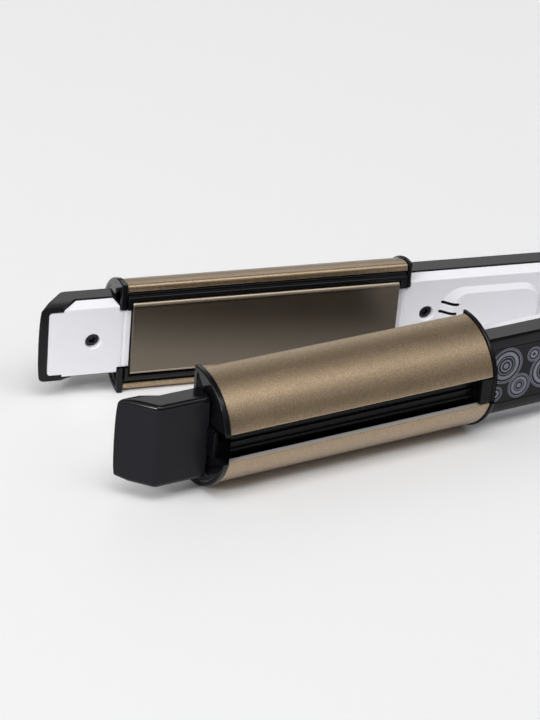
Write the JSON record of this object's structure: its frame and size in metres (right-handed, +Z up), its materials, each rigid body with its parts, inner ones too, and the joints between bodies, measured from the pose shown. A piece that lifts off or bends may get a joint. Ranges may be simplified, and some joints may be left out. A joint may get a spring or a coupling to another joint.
{
  "type": "hair straightener",
  "caption": "Hair straightener with flat heated plates in two barrel-shaped arms on a spring hinge, with push buttons, a sliding lock and a cord swivel.",
  "frame": {"origin": "on the surface that the iron lies on, under the axis of the hinge pin, in the flat underside of the lower hinge cap", "axes": "+Z up, along the hinge pin; the fixed arm points along -X with its heating plate facing -Y; the moving arm is turned 12 degrees from it about +Z, to the -Y side; the cord swivel points along +X"},
  "size_m": [0.3141, 0.093, 0.0372],
  "materials": {
    "shell": "champagne anodised, fine sparkle, satin",
    "plate": "champagne ceramic coating, polished",
    "black_gloss": "black gloss",
    "black_matte": "black satin",
    "white": "white satin",
    "inlay": "dark grey with printed rings",
    "screw": "blackened",
    "steel": "bright",
    "ceramic": "unglazed ceramic",
    "silicone": "silicone rubber",
    "board": "green laminate",
    "lead": "silicone insulation",
    "lens": "red translucent"
  },
  "bodies": {
    "fixed_arm": {"fixed_upper_shell": "shell", "fixed_lower_shell": "shell", "fixed_rear_disc": "black_gloss", "fixed_tip_disc": "black_gloss", "fixed_plate_carrier": "black_gloss", "fixed_plate_cushion": "silicone", "fixed_thermal_fuse": "ceramic", "fixed_heater_lead": "lead", "fixed_spine": "black_matte", "fixed_handle_inner_cover": "white", "fixed_tip_inner_cover": "white", "fixed_tip_cap": "black_gloss", "fixed_inlay_panel": "inlay", "fixed_handle_screw": "screw", "fixed_tip_screw": "screw", "fixed_outer_cover": "black_gloss", "hinge_pin": "steel", "hinge_cap_upper": "black_gloss", "hinge_cap_lower": "black_gloss", "torsion_spring": "steel", "swivel_collar": "black_gloss", "supply_lead": "lead", "circuit_board": "board", "indicator_lens": "lens"},
    "moving_arm": {"moving_upper_shell": "shell", "moving_lower_shell": "shell", "moving_rear_disc": "black_gloss", "moving_tip_disc": "black_gloss", "moving_plate_carrier": "black_gloss", "moving_plate_cushion": "silicone", "moving_thermal_fuse": "ceramic", "moving_heater_lead": "lead", "moving_spine": "black_matte", "moving_handle_inner_cover": "white", "moving_tip_inner_cover": "white", "moving_tip_cap": "black_gloss", "moving_inlay_panel": "inlay", "moving_handle_screw": "screw", "moving_tip_screw": "screw", "moving_outer_cover": "black_gloss"},
    "fixed_plate": {"fixed_heating_plate": "plate", "fixed_heater": "ceramic"},
    "moving_plate": {"moving_heating_plate": "plate", "moving_heater": "ceramic"},
    "power_button": {"power_button": "black_matte"},
    "cooler_button": {"cooler_button": "black_matte"},
    "warmer_button": {"warmer_button": "black_matte"},
    "lock_slider": {"lock_slider": "black_matte"},
    "cord_swivel": {"cord_swivel": "black_matte"}
  },
  "joints": [
    {"name": "arm_hinge", "type": "hinge", "parent": "fixed_arm", "child": "moving_arm", "pos_m": [0, 0, 0.0186], "axis": [0, 0, 1], "range_deg": [-12, 0], "stiffness_Nm_per_rad": 1, "springref_deg": 11.46},
    {"name": "fixed_plate_float", "type": "slide", "parent": "fixed_arm", "child": "fixed_plate", "axis": [0, 1, 0], "range_m": [0, 0.0006], "stiffness_N_per_m": 3000, "springref_m": -0.0004},
    {"name": "moving_plate_float", "type": "slide", "parent": "moving_arm", "child": "moving_plate", "axis": [0.2079, -0.9781, 0], "range_m": [0, 0.0006], "stiffness_N_per_m": 3000, "springref_m": -0.0004},
    {"name": "power_press", "type": "slide", "parent": "fixed_arm", "child": "power_button", "axis": [0, -1, 0], "range_m": [0, 0.0006], "stiffness_N_per_m": 800, "springref_m": -0.0006},
    {"name": "cooler_press", "type": "slide", "parent": "fixed_arm", "child": "cooler_button", "axis": [0, -1, 0], "range_m": [0, 0.0006], "stiffness_N_per_m": 800, "springref_m": -0.0006},
    {"name": "warmer_press", "type": "slide", "parent": "fixed_arm", "child": "warmer_button", "axis": [0, -1, 0], "range_m": [0, 0.0006], "stiffness_N_per_m": 800, "springref_m": -0.0006},
    {"name": "lock_slide", "type": "slide", "parent": "fixed_arm", "child": "lock_slider", "axis": [-1, 0, 0], "range_m": [0, 0.003]},
    {"name": "swivel_turn", "type": "hinge", "parent": "fixed_arm", "child": "cord_swivel", "pos_m": [0.0289, 0, 0.0186], "axis": [1, 0, 0], "continuous": true}
  ]
}
